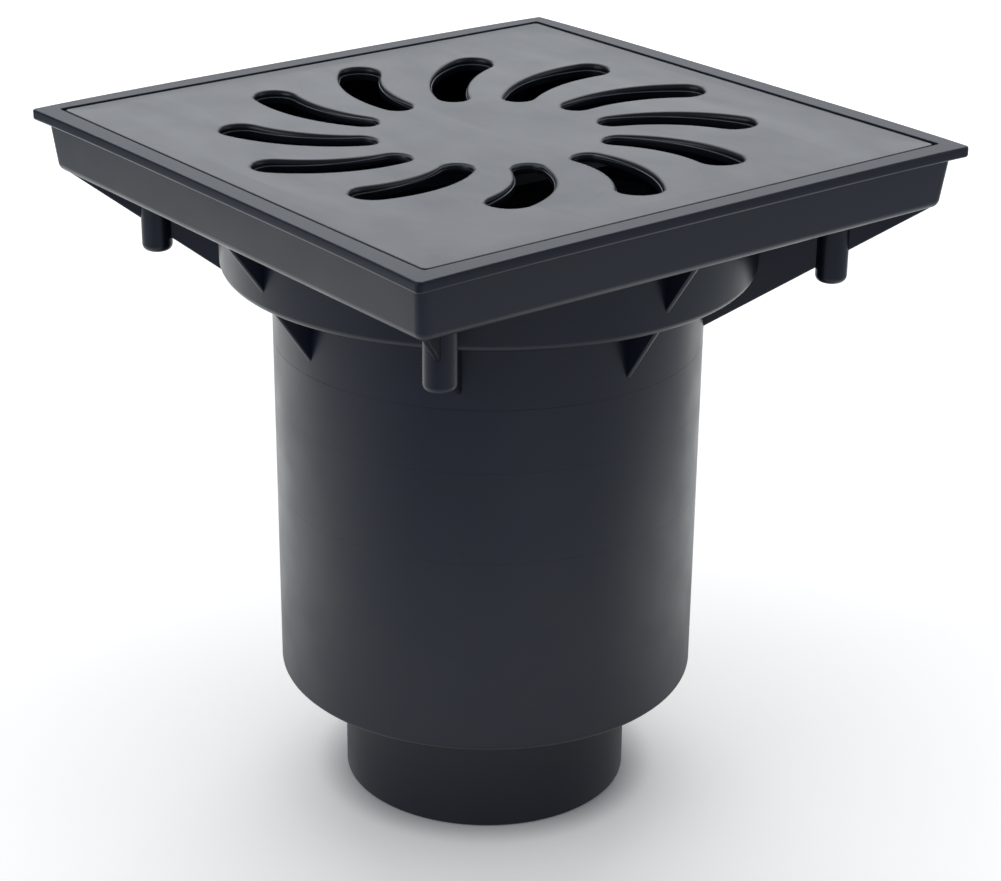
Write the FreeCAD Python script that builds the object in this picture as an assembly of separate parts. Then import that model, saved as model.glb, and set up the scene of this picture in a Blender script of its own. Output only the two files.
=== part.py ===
"""Square yard drain: moulded body, swirl-slotted grate, leaf basket and counterweighted flap trap.

Lengths are millimetres and angles are degrees. Z points up, and the origin is the centre of the
outlet spigot's foot. The tray's sides run along X and Y, and the flap swings towards -X.
"""
import FreeCAD, Part
import math
import os

# Body: outlet spigot, barrel and collar
spigot_diameter = 110.0
spigot_length = 46.5
barrel_diameter = 160.4
barrel_length = 164.3
barrel_edge = 1.2
collar_diameter = 199.4
collar_height = 26.9
body_wall = 3.2

# Body: square tray and its flange
tray_side = 231.4
tray_depth = 19.3
tray_draft = 5.7
tray_wall = 4.0
tray_corner = 3.0
tray_edge = 1.4
recess_corner = 1.2
flange_side = 243.0
flange_thickness = 4.0
flange_corner = 3.0
flange_edge = 0.8
flange_lip = 1.5
flange_fall = 0.4

# Body: webs, gussets and pegs under the tray
rib_thickness = 2.0
web_reach = 160.2
barrel_gusset_drop = 23.1
barrel_gusset_reach = 95.8
collar_gusset_drop = 20.1
collar_gusset_reach = 113.5
peg_diameter = 11.6
peg_circle_radius = 125.7
peg_length = 29.5

# Grate
grate_gap = 1.2
grate_drop = 0.1
grate_skirt = 2.6
grate_corner = 2.5
grate_border = 7.8
grate_fall = 0.3
hub_thickness = 3.2
dish_depth = 2.0
dish_hub_radius = 41.0
dish_rim_radius = 98.5
slot_count = 12
slot_inner_radius = 48.0
slot_inner_angle = 8.6
slot_inner_end = 5.35
slot_outer_radius = 89.7
slot_outer_angle = -3.55
slot_outer_end = 7.6
slot_convex_radius = 55.6
slot_concave_radius = 52.6
foot_rib = 2.4
foot_rib_count = 8

# Leaf basket
basket_wall = 2.0
basket_rim_thickness = 2.5
basket_gap = 3.0
basket_floor_gap = 8.0
wall_slot_count = 12
wall_slot_width = 5.0
wall_slot_margin = 14.0
floor_slot_count = 6
floor_slot_width = 5.0
floor_slot_start = 18.0
floor_slot_margin = 12.0
handle_width = 10.0
handle_thickness = 3.0
handle_rise = 21.0
handle_bend = 7.0
handle_bend_angle = 45.0

# Trap insert
trap_leg_length = 63.5
trap_leg_width = 8.0
trap_leg_thickness = 3.0
trap_leg_inset = 6.0
deck_thickness = 3.0
deck_gap = 0.3
throat_length = 58.0
throat_width = 54.0
throat_wall = 2.5
throat_depth = 12.0
throat_offset = 20.0

# Flap, its hinge and its counterweight
flap_overlap = 3.0
gasket_thickness = 2.0
gasket_margin = 1.0
flap_thickness = 2.5
flap_rib_depth = 5.0
flap_rib = 2.0
seat_gap = 0.3
knuckle_radius = 5.0
knuckle_gap = 1.5
hinge_drop = 4.0
pin_diameter = 4.0
pin_clearance = 0.05
ear_gap = 1.5
ear_thickness = 4.0
ear_radius = 6.0
tail_length = 32.0
tail_angle = 45.0
tail_arm = 4.0
tail_arm_spacing = 18.0
weight_side = 10.0
weight_length = 36.0
weight_wall = 2.0

# Length by which a cutting shape overshoots what it cuts
clear = 1.0

V = FreeCAD.Vector
AXIS = V(0, 0, 1)
ORIGIN = V(0, 0, 0)


def rise(length, angle):
    """Sideways gain of a drafted wall over a length."""
    return length * math.tan(math.radians(angle))


# Levels, from the spigot's foot up
barrel_z = spigot_length
floor_z = barrel_z + body_wall
collar_z = barrel_z + barrel_length
shelf_z = collar_z + body_wall
tray_z = collar_z + collar_height
tray_floor_z = tray_z + tray_wall
flange_z = tray_z + tray_depth
rim_z = flange_z + flange_thickness
flange_inner_z = rim_z - flange_fall
grate_edge_z = flange_inner_z - grate_drop
grate_z = grate_edge_z + grate_fall
hub_z = grate_z - dish_depth
grate_under_z = hub_z - hub_thickness
deck_z = floor_z + trap_leg_length
deck_top_z = deck_z + deck_thickness
seat_z = deck_z - throat_depth
flap_z = seat_z - seat_gap - gasket_thickness
basket_z = deck_top_z + basket_floor_gap
basket_rim_z = shelf_z + basket_rim_thickness

# Radii and half widths
spigot_radius = spigot_diameter / 2
spigot_bore = spigot_radius - body_wall
barrel_radius = barrel_diameter / 2
barrel_bore = barrel_radius - body_wall
collar_radius = collar_diameter / 2
collar_bore = collar_radius - body_wall
tray_half = tray_side / 2
deck_radius = barrel_bore - deck_gap
pin_radius = pin_diameter / 2

# Throat and flap in plan: the hinge lies along Y, beside the throat's +X wall
throat_start = -throat_offset - throat_length / 2 - throat_wall
throat_end = -throat_offset + throat_length / 2 + throat_wall
throat_half = throat_width / 2 + throat_wall
flap_start = throat_start - flap_overlap
flap_half = throat_half + flap_overlap
hinge_x = throat_end + knuckle_gap + knuckle_radius
hinge_z = seat_z - hinge_drop
pin_length = 2 * (flap_half + ear_gap + ear_thickness)


def recess_half(z):
    """Half width of the tray's recess at a height."""
    return tray_half + rise(z - tray_z, tray_draft) - tray_wall


def upright_face(corners):
    """Face of the XZ plane from (radius, z) corners."""
    points = [V(radius, 0, z) for radius, z in corners]
    return Part.Face(Part.makePolygon(points + points[:1]))


def revolved(corners):
    """Solid of revolution about the drain's axis from (radius, z) corners."""
    return upright_face(corners).revolve(ORIGIN, AXIS, 360)


def rib(corners, thickness, angle=0.0):
    """Flat rib in the upright plane at an angle about the axis, from (radius, z) corners."""
    face = upright_face(corners)
    face.translate(V(0, -thickness / 2, 0))
    solid = face.extrude(V(0, thickness, 0))
    solid.rotate(ORIGIN, AXIS, angle)
    return solid


def around(solid, count, start=0.0):
    """Copies of a solid, evenly spaced about the axis."""
    copies = []
    for i in range(count):
        copy = solid.copy()
        copy.rotate(ORIGIN, AXIS, start + 360.0 * i / count)
        copies.append(copy)
    return copies


def cylinder(radius, low, high):
    """Upright cylinder on the drain's axis, between two heights."""
    return Part.makeCylinder(radius, high - low, V(0, 0, low), AXIS)


def box(start, end, half, low, high):
    """Box from one X to another, centred on the XZ plane, between two heights."""
    return Part.makeBox(end - start, 2 * half, high - low, V(start, -half, low))


def hinge_cylinder(radius, length):
    """Cylinder on the hinge line, centred on the XZ plane."""
    return Part.makeCylinder(radius, length, V(hinge_x, -length / 2, hinge_z), V(0, 1, 0))


def level_edges(solid, z):
    """Edges of a solid that lie at one height."""
    return [e for e in solid.Edges if all(abs(v.Z - z) < 1e-6 for v in e.Vertexes)]


def tapered_block(half, low, top, high):
    """Square block that runs from one half width at its foot to another at its top."""
    block = Part.makeWedge(-half, low, -half, -top, -top, half, high, half, top, top)
    block.rotate(ORIGIN, V(1, 0, 0), 90)
    return block


def drafted_block(half, low, high, draft, corner):
    """Square block that widens upwards from its half width at the foot, with rounded corners."""
    block = tapered_block(half, low, half + rise(high - low, draft), high)
    slanted = [e for e in block.Edges if abs(e.Vertexes[0].Z - e.Vertexes[1].Z) > 1e-6]
    return block.makeFillet(corner, slanted)


def drain_body():
    """One moulding: spigot, barrel, collar, tray and flange, braced by webs, gussets and pegs."""
    pipe = revolved([
        (spigot_bore, 0),
        (spigot_radius, 0),
        (spigot_radius, barrel_z),
        (barrel_radius - barrel_edge, barrel_z),
        (barrel_radius, barrel_z + barrel_edge),
        (barrel_radius, collar_z),
        (collar_radius, collar_z),
        (collar_radius, tray_floor_z),
        (collar_bore, tray_floor_z),
        (collar_bore, shelf_z),
        (barrel_bore, shelf_z),
        (barrel_bore, floor_z),
        (spigot_bore, floor_z),
    ])

    tray = drafted_block(tray_half, tray_z, flange_z, tray_draft, tray_corner)
    tray = tray.makeChamfer(tray_edge, level_edges(tray, tray_z))
    flange = drafted_block(flange_side / 2, flange_z, rim_z, 0, flange_corner)
    flange = flange.makeChamfer(flange_edge, level_edges(flange, flange_z))
    recess = drafted_block(
        recess_half(tray_floor_z), tray_floor_z, rim_z + clear, tray_draft, recess_corner)
    # The flange's top falls to the recess, so its cutter runs on past both ends of the slope
    inner = recess_half(flange_inner_z)
    run = flange_side / 2 - flange_lip - inner
    slope = tapered_block(inner - run, flange_inner_z - flange_fall, inner + 2 * run, rim_z + flange_fall)
    well = cylinder(collar_bore, tray_z - clear, rim_z)
    tray = tray.fuse(flange).cut([slope, recess, well])

    # Ribs start in the middle of the wall that carries them
    sunk = body_wall / 2
    barrel_foot_z = collar_z - barrel_gusset_drop
    collar_foot_z = tray_z - collar_gusset_drop
    web = rib([
        (barrel_radius - sunk, barrel_foot_z),
        (barrel_radius, barrel_foot_z),
        (web_reach, tray_z),
        (web_reach, tray_z + sunk),
        (collar_radius - sunk, tray_z + sunk),
        (collar_radius - sunk, collar_z + sunk),
        (barrel_radius - sunk, collar_z + sunk),
    ], rib_thickness)
    barrel_gusset = rib([
        (barrel_radius - sunk, barrel_foot_z),
        (barrel_radius, barrel_foot_z),
        (barrel_gusset_reach, collar_z),
        (barrel_gusset_reach, collar_z + sunk),
        (barrel_radius - sunk, collar_z + sunk),
    ], rib_thickness)
    collar_gusset = rib([
        (collar_radius - sunk, collar_foot_z),
        (collar_radius, collar_foot_z),
        (collar_gusset_reach, tray_z),
        (collar_gusset_reach, tray_z + sunk),
        (collar_radius - sunk, tray_z + sunk),
    ], rib_thickness)
    peg = cylinder(peg_diameter / 2, tray_z - peg_length, tray_z + sunk)
    peg.translate(V(peg_circle_radius, 0, 0))

    ribs = around(web, 4, 45) + around(peg, 4, 45) + around(barrel_gusset, 4) + around(collar_gusset, 4)
    return pipe.multiFuse([tray] + ribs).removeSplitter()


def polar(radius, angle):
    """Point of the XY plane from its radius and angle."""
    return V(radius * math.cos(math.radians(angle)), radius * math.sin(math.radians(angle)), 0)


def meeting_point(first, first_distance, second, second_distance):
    """Point at given distances from two points, on the right of the line from first to second."""
    along = second - first
    span = along.Length
    along.normalize()
    ahead = (first_distance ** 2 - second_distance ** 2 + span ** 2) / (2 * span)
    return first + along * ahead + V(along.y, -along.x, 0) * math.sqrt(first_distance ** 2 - ahead ** 2)


def from_centre(centre, point, distance):
    """Point at a distance from a centre, in the direction of another point."""
    direction = point - centre
    direction.normalize()
    return centre + direction * distance


def slot_centres():
    """Centres of a slot's inner and outer ends, and of its convex and concave sides."""
    inner = polar(slot_inner_radius, slot_inner_angle)
    outer = polar(slot_outer_radius, slot_outer_angle)
    convex = meeting_point(
        inner, slot_convex_radius - slot_inner_end, outer, slot_convex_radius - slot_outer_end)
    concave = meeting_point(
        inner, slot_concave_radius + slot_inner_end, outer, slot_concave_radius + slot_outer_end)
    return inner, outer, convex, concave


def swirl_slot(low, high):
    """Upright cutter for one slot: two curved sides, joined by tangent round ends."""
    inner, outer, convex, concave = slot_centres()
    convex_start = from_centre(convex, inner, slot_convex_radius)
    convex_end = from_centre(convex, outer, slot_convex_radius)
    concave_start = from_centre(concave, outer, slot_concave_radius)
    concave_end = from_centre(concave, inner, slot_concave_radius)
    convex_middle = from_centre(convex, (convex_start + convex_end) / 2, slot_convex_radius)
    concave_middle = from_centre(concave, (concave_start + concave_end) / 2, slot_concave_radius)
    length = (outer - inner).Length
    arcs = [
        (convex_start, convex_middle, convex_end),
        (convex_end, from_centre(inner, outer, length + slot_outer_end), concave_start),
        (concave_start, concave_middle, concave_end),
        (concave_end, from_centre(outer, inner, length + slot_inner_end), convex_start),
    ]
    wire = Part.Wire([Part.Arc(*arc).toShape() for arc in arcs])
    wire.translate(V(0, 0, low))
    return Part.Face(wire).extrude(V(0, 0, high - low))


def dish_ring(radius, z):
    """Corners of the dish's outline at a height: one straight side for each slot."""
    half_pitch = 180.0 / slot_count
    first = (slot_inner_angle + slot_outer_angle) / 2 + half_pitch
    corner_radius = radius / math.cos(math.radians(half_pitch))
    ring = [polar(corner_radius, first + 2 * half_pitch * i) for i in range(slot_count)]
    return [point + V(0, 0, z) for point in ring]


def dish():
    """Cutter for the hollow of the grate's top: flat sectors that fall to a flat hub."""
    slope = (dish_rim_radius - dish_hub_radius) / dish_depth
    low = dish_ring(dish_hub_radius, hub_z)
    high = dish_ring(dish_rim_radius + clear * slope, grate_z + clear)
    faces = [low, high] + [
        [low[i - 1], low[i], high[i], high[i - 1]] for i in range(slot_count)]
    shell = Part.Shell([Part.Face(Part.makePolygon(face + face[:1])) for face in faces])
    return Part.Solid(shell)


def grate():
    """Lift-out grate: dished plate with swirl slots, on a drafted skirt and foot ribs."""
    foot_half = recess_half(tray_floor_z) - grate_gap
    skirt_half = foot_half - grate_skirt
    block = drafted_block(foot_half, tray_floor_z, grate_z + clear, tray_draft, grate_corner)
    hollow = drafted_block(skirt_half, tray_floor_z, grate_under_z, tray_draft, grate_corner)
    # The plate's top is a low hip: its border falls to the edge, so the hip runs on down past the edge
    edge_half = foot_half + rise(grate_edge_z - tray_floor_z, tray_draft)
    slope = grate_border / grate_fall
    depth = grate_z - tray_floor_z
    hip = tapered_block(edge_half - grate_border + depth * slope, tray_floor_z, edge_half - grate_border, grate_z)
    plate = block.common(hip).cut([dish(), hollow])

    foot_ribs = []
    for i in range(foot_rib_count):
        angle = 360.0 * i / foot_rib_count
        turn = math.radians(angle)
        reach = (skirt_half + grate_skirt / 2) / max(abs(math.cos(turn)), abs(math.sin(turn)))
        foot_ribs.append(rib([
            (dish_rim_radius + foot_rib, tray_floor_z),
            (reach, tray_floor_z),
            (reach, grate_under_z + hub_thickness / 2),
            (dish_rim_radius + foot_rib, grate_under_z + hub_thickness / 2),
        ], foot_rib, angle))
    slots = around(swirl_slot(grate_under_z - clear, rim_z), slot_count)
    return plate.multiFuse(foot_ribs).cut(slots).removeSplitter()


def leaf_basket():
    """Slotted bucket with a wide rim that hangs on the body's shelf, and a fixed bow handle."""
    side = barrel_bore - basket_gap
    rim = collar_bore - basket_gap / 2
    bucket = revolved([
        (0, basket_z),
        (side, basket_z),
        (side, shelf_z),
        (rim, shelf_z),
        (rim, basket_rim_z),
        (side - basket_wall, basket_rim_z),
        (side - basket_wall, basket_z + basket_wall),
        (0, basket_z + basket_wall),
    ])
    wall_slot = rib([
        (side - basket_wall - clear, basket_z + wall_slot_margin),
        (side + clear, basket_z + wall_slot_margin),
        (side + clear, shelf_z - wall_slot_margin),
        (side - basket_wall - clear, shelf_z - wall_slot_margin),
    ], wall_slot_width)
    floor_slot = rib([
        (floor_slot_start, basket_z - clear),
        (side - floor_slot_margin, basket_z - clear),
        (side - floor_slot_margin, basket_z + basket_wall + clear),
        (floor_slot_start, basket_z + basket_wall + clear),
    ], floor_slot_width)
    cutters = around(wall_slot, wall_slot_count) + around(floor_slot, floor_slot_count)

    stand = (side + rim) / 2
    crown_z = basket_rim_z + handle_rise
    inside = stand - handle_thickness
    under_z = crown_z - handle_thickness
    slack = rise(handle_thickness, handle_bend_angle / 2)
    handle = rib([
        (-stand, shelf_z),
        (-stand, crown_z - handle_bend),
        (handle_bend - stand, crown_z),
        (stand - handle_bend, crown_z),
        (stand, crown_z - handle_bend),
        (stand, shelf_z),
        (inside, shelf_z),
        (inside, crown_z - handle_bend - slack),
        (stand - handle_bend - slack, under_z),
        (handle_bend + slack - stand, under_z),
        (-inside, crown_z - handle_bend - slack),
        (-inside, shelf_z),
    ], handle_width)
    return bucket.cut(cutters).fuse(handle).removeSplitter()


def trap_deck():
    """Insert on four legs that closes the barrel: disc with an offset throat and hinge ears."""
    disc = cylinder(deck_radius, deck_z, deck_top_z)
    throat = box(throat_start, throat_end, throat_half, seat_z, deck_top_z)
    bore = box(throat_start + throat_wall, throat_end - throat_wall, throat_half - throat_wall,
               seat_z, deck_top_z)
    leg_outside = deck_radius - trap_leg_inset
    leg = rib([
        (leg_outside - trap_leg_width, floor_z),
        (leg_outside, floor_z),
        (leg_outside, deck_top_z),
        (leg_outside - trap_leg_width, deck_top_z),
    ], trap_leg_thickness)
    ears = []
    for side in (-1, 1):
        ear = rib([
            (hinge_x - ear_radius, deck_top_z),
            (hinge_x - ear_radius, hinge_z),
            (hinge_x - ear_radius / 2, hinge_z - ear_radius),
            (hinge_x + ear_radius / 2, hinge_z - ear_radius),
            (hinge_x + ear_radius, hinge_z),
            (hinge_x + ear_radius, deck_top_z),
        ], ear_thickness)
        ear.translate(V(0, side * (pin_length - ear_thickness) / 2, 0))
        ears.append(ear)
    deck = disc.multiFuse([throat] + around(leg, 4, 45) + ears)
    return deck.cut([bore, hinge_pin()]).removeSplitter()


def tail_box(side, length):
    """Square bar across the end of the flap's tail."""
    bar = Part.makeBox(side, length, side, V(tail_length - side / 2, -length / 2, -side / 2))
    bar.rotate(ORIGIN, V(0, 1, 0), tail_angle)
    bar.translate(V(hinge_x, 0, hinge_z))
    return bar


def trap_flap():
    """Flap under the throat, with stiffening ribs, a hinge knuckle and a tail that holds the weight."""
    under_z = flap_z - flap_thickness
    rib_z = under_z - flap_rib_depth
    plate = box(flap_start, hinge_x, flap_half, under_z, flap_z)
    spine = rib([
        (flap_start + flap_rib_depth, under_z),
        (flap_start + 2 * flap_rib_depth, rib_z),
        (hinge_x, rib_z),
        (hinge_x, under_z),
    ], flap_rib)
    cross = box(-throat_offset - flap_rib / 2, -throat_offset + flap_rib / 2,
                flap_half - flap_rib_depth, rib_z, under_z)
    knuckle = hinge_cylinder(knuckle_radius, 2 * flap_half)
    holder = tail_box(weight_side + 2 * weight_wall, weight_length - 2 * weight_wall)
    arms = []
    for side in (-1, 1):
        arm = Part.makeBox(tail_length, tail_arm, knuckle_radius, V(0, -tail_arm / 2, -knuckle_radius / 2))
        arm.rotate(ORIGIN, V(0, 1, 0), tail_angle)
        arm.translate(V(hinge_x, side * tail_arm_spacing / 2, hinge_z))
        arms.append(arm)
    flap = plate.multiFuse([spine, cross, knuckle, holder] + arms)
    pin_hole = hinge_cylinder(pin_radius + pin_clearance, pin_length)
    return flap.cut([pin_hole, counterweight()]).removeSplitter()


def flap_gasket():
    """Rubber frame on the flap, under the throat's edge."""
    low = flap_z
    high = flap_z + gasket_thickness
    frame = box(throat_start - gasket_margin, throat_end + gasket_margin, throat_half + gasket_margin, low, high)
    lip = throat_wall + gasket_margin
    return frame.cut(box(throat_start + lip, throat_end - lip, throat_half - lip, low, high))


def counterweight():
    """Square steel bar in the holder of the flap's tail."""
    return tail_box(weight_side, weight_length)


def hinge_pin():
    """Steel pin through both ears and the flap's knuckle."""
    return hinge_cylinder(pin_radius, pin_length)


os.makedirs("parts", exist_ok=True)
for piece in (drain_body, grate, leaf_basket, trap_deck, trap_flap, flap_gasket, counterweight, hinge_pin):
    piece().exportStep("parts/" + piece.__name__ + ".step")
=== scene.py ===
"""Dresses the yard drain: fine moulded meshes, finishes, a pale floor, soft light and the camera.

Lengths in the classes are millimetres in the drain's own frame: Z points up, the origin is the
centre of the outlet spigot's foot and the square tray's sides run along X and Y. Meshes are metres.
"""

import logging
import math
from dataclasses import dataclass
from enum import Enum
from typing import Sequence, Union

import bmesh
import bpy
import numpy as np
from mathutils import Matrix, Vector


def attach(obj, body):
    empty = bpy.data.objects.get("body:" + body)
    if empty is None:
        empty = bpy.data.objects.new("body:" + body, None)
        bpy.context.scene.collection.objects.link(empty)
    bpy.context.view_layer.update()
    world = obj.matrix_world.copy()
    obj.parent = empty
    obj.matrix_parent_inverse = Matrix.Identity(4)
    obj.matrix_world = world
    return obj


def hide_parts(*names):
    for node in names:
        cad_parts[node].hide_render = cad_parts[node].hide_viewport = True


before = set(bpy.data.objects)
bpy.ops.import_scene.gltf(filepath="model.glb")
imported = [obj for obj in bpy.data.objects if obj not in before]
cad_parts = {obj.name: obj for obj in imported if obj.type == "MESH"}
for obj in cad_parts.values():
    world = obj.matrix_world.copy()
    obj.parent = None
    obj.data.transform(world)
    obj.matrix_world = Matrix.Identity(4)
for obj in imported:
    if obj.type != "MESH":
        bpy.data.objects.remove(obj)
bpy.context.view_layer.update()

LOG = logging.getLogger("yard_drain")
MM = 0.001
FULL_TURN = 2 * math.pi
SHARP_ANGLE = math.radians(40)
FLAT_WEIGHT = 80
WELD = 1e-6
LEAST_WELD = 1e-7
LEAST_PLAN = 0.2

Piece = bpy.types.Object
Material = bpy.types.Material
Socket = bpy.types.NodeSocket
Triple = tuple[float, float, float]
Value = Union[Socket, float, Sequence[float]]


class Body(Enum):
    """The two bodies that pieces ride on."""

    DRAIN = "drain"
    FLAP = "flap"


class Sum(Enum):
    """What a material does with numbers."""

    PRODUCT = "MULTIPLY"
    LARGER = "MAXIMUM"
    ABOVE = "GREATER_THAN"
    WITHIN = "COMPARE"


class Run(Enum):
    """How a number of a material runs between two levels."""

    STRAIGHT = "LINEAR"
    SMOOTH = "SMOOTHSTEP"


class Ends(Enum):
    """What becomes of the first and the last of a mesh's loops."""

    OPEN = "open"
    CAPPED = "capped"
    JOINED = "joined"


@dataclass(frozen=True)
class Corner:
    """One corner of an upright section.

    Fields give its distance out from the axis, its height, its rounding, and the plan radius of
    the square's corners there. A plan of None means that the section is round there.
    """

    out: float
    z: float
    rounding: float = 0.0
    plan: float | None = None


def round_section(corners: Sequence[Corner], steps: int) -> list[Corner]:
    """Rounds the corners of a closed section.

    Args:
        corners: The section's corners, in order.
        steps: Straight steps in each rounding.

    Returns:
        The section's points, as corners with no rounding left.
    """
    points = []
    for i, corner in enumerate(corners):
        if not corner.rounding:
            points.append(corner)
            continue
        here = np.array([corner.out, corner.z])
        before, after = corners[i - 1], corners[(i + 1) % len(corners)]
        back = np.array([before.out, before.z]) - here
        ahead = np.array([after.out, after.z]) - here
        back /= np.linalg.norm(back)
        ahead /= np.linalg.norm(ahead)
        half = math.acos(float(np.clip(back @ ahead, -1, 1))) / 2
        middle = (back + ahead) / np.linalg.norm(back + ahead)
        centre = here + middle * corner.rounding / math.sin(half)
        first = back * corner.rounding / math.tan(half) + here - centre
        last = ahead * corner.rounding / math.tan(half) + here - centre
        sweep = math.pi - 2 * half
        for k in range(steps + 1):
            share = k / steps
            spot = first * math.sin((1 - share) * sweep) + last * math.sin(share * sweep)
            out, z = centre + spot / math.sin(sweep)
            plan = None if corner.plan is None else corner.plan + out - corner.out
            points.append(Corner(out, z, 0.0, plan))
    return points


class PlanLoops:
    """Level loops of points, round or square, with the same count, so that they can be bridged."""

    def __init__(self, side_steps: int, corner_steps: int, half: float, plan: float) -> None:
        """Fixes the loops' points.

        Args:
            side_steps: Steps along each straight side.
            corner_steps: Steps round each corner.
            half: Half width of the square that spaces the round loops' points.
            plan: Corner radius of that square.
        """
        self.side_steps = side_steps
        self.corner_steps = corner_steps
        shape = self.square(half, plan, 0.0)
        self.angles = np.arctan2(shape[:, 1], shape[:, 0])

    def square(self, half: float, plan: float, z: float) -> np.ndarray:
        """Makes a square loop with rounded corners.

        Args:
            half: Half width of the square.
            plan: Radius of its corners.
            z: Height of the loop.

        Returns:
            The loop's points.
        """
        straight = half - plan
        widest = math.atan2(straight, half)
        shares = [2 * k / self.side_steps - 1 for k in range(self.side_steps + 1)]
        quarter = [(half, half * math.tan(widest * share)) for share in shares]
        for k in range(1, self.corner_steps):
            turn = math.pi / 2 * k / self.corner_steps
            quarter.append((straight + plan * math.cos(turn), straight + plan * math.sin(turn)))
        points = []
        for x, y in ((1, 0), (0, 1), (-1, 0), (0, -1)):
            points += [(x * a - y * b, y * a + x * b, z) for a, b in quarter]
        return np.array(points)

    def round(self, radius: float, z: float) -> np.ndarray:
        """Returns the points of a round loop."""
        level = np.full_like(self.angles, z)
        return np.stack([radius * np.cos(self.angles), radius * np.sin(self.angles), level], 1)

    def at(self, point: Corner) -> np.ndarray:
        """Makes the loop through one point of a section.

        Args:
            point: The section's point.

        Returns:
            The loop's points.
        """
        if point.plan is None:
            return self.round(point.out, point.z)
        return self.square(point.out, max(point.plan, LEAST_PLAN), point.z)


def put(data: bpy.types.ID) -> Piece:
    """Adds an object of a mesh, a lamp or a camera to the scene.

    Args:
        data: The mesh, lamp or camera, which gives the object its name.

    Returns:
        The object.
    """
    piece = bpy.data.objects.new(data.name, data)
    bpy.context.scene.collection.objects.link(piece)
    return piece


def aim(piece: Piece, place: Triple, heading: Vector) -> None:
    """Stands a lamp or a camera at a place, so that it looks along a heading."""
    piece.location = place
    piece.rotation_euler = heading.to_track_quat("-Z", "Y").to_euler()


def skin(name: str, loops: Sequence[np.ndarray], ends: Ends) -> Piece:
    """Makes an object of closed bands of faces, each between a loop of points and the next.

    Args:
        name: Name of the object.
        loops: Loops with the same count of points, in millimetres.
        ends: What becomes of the first loop and the last.

    Returns:
        The object, welded and with its faces pointing outwards.
    """
    count = len(loops[0])
    rows = np.arange(len(loops) * count).reshape(len(loops), count).tolist()
    faces = []
    for i in range(0 if ends is Ends.JOINED else 1, len(rows)):
        low, high = rows[i - 1], rows[i]
        for j in range(count):
            k = (j + 1) % count
            faces.append([low[j], low[k], high[k], high[j]])
    if ends is Ends.CAPPED:
        faces += [rows[0], rows[-1]]
    mesh = bpy.data.meshes.new(name)
    mesh.from_pydata((np.concatenate(loops) * MM).tolist(), [], faces)
    piece = put(mesh)
    tidy(piece)
    return piece


def tidy(piece: Piece) -> None:
    """Merges a piece's doubled points and turns its faces outwards.

    Args:
        piece: The mesh object.
    """
    draft = bmesh.new()
    draft.from_mesh(piece.data)
    bmesh.ops.remove_doubles(draft, verts=draft.verts, dist=WELD)
    bmesh.ops.dissolve_degenerate(draft, edges=draft.edges, dist=WELD)
    bmesh.ops.recalc_face_normals(draft, faces=draft.faces)
    draft.to_mesh(piece.data)
    draft.free()


def settle(piece: Piece) -> Piece:
    """Turns a piece's modifiers into plain mesh.

    Args:
        piece: The mesh object.

    Returns:
        The same object.
    """
    graph = bpy.context.evaluated_depsgraph_get()
    mesh = bpy.data.meshes.new_from_object(piece.evaluated_get(graph))
    piece.modifiers.clear()
    old = piece.data
    piece.data = mesh
    mesh.name = piece.name
    bpy.data.meshes.remove(old)
    return piece


def discard(piece: Piece) -> None:
    """Deletes a helper object and its mesh.

    Args:
        piece: The mesh object.
    """
    mesh = piece.data
    bpy.data.objects.remove(piece)
    bpy.data.meshes.remove(mesh)


def join(piece: Piece, other: Piece) -> None:
    """Joins another closed mesh to a piece and deletes the other.

    Args:
        piece: The mesh object that grows.
        other: The mesh object that goes into it.
    """
    step = piece.modifiers.new("Join", "BOOLEAN")
    step.operation = "UNION"
    step.solver = "MANIFOLD"
    step.object = other
    settle(piece)
    discard(other)


def soften(piece: Piece) -> None:
    """Shades a piece smooth over its roundings and flat on its faces.

    Args:
        piece: The mesh object.
    """
    piece.data.shade_smooth()
    piece.data.set_sharp_from_angle(angle=SHARP_ANGLE)
    step = piece.modifiers.new("FlatFaces", "WEIGHTED_NORMAL")
    step.keep_sharp = True
    step.weight = FLAT_WEIGHT
    settle(piece)


class Wiring:
    """Short ways to add the nodes of a tree."""

    tree: bpy.types.NodeTree

    def fill(self, target: Socket, value: Value) -> None:
        """Links an input to a socket, or sets it to a fixed value.

        Args:
            target: The input.
            value: The socket, number, vector or colour that it gets.
        """
        if isinstance(value, Socket):
            self.tree.links.new(value, target)
        else:
            target.default_value = value

    def made(self, kind: str, output: int | str, inputs: dict[int | str, Value],
             **options: str) -> Socket:
        """Adds a node.

        Args:
            kind: Type of the node.
            output: Name or number of the wanted output.
            inputs: The value of each input that is filled, by name or number.
            options: Settings of the node, such as its operation.

        Returns:
            The wanted output.
        """
        node = self.tree.nodes.new(kind)
        for option, value in options.items():
            setattr(node, option, value)
        for name, value in inputs.items():
            self.fill(node.inputs[name], value)
        return node.outputs[output]


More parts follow.
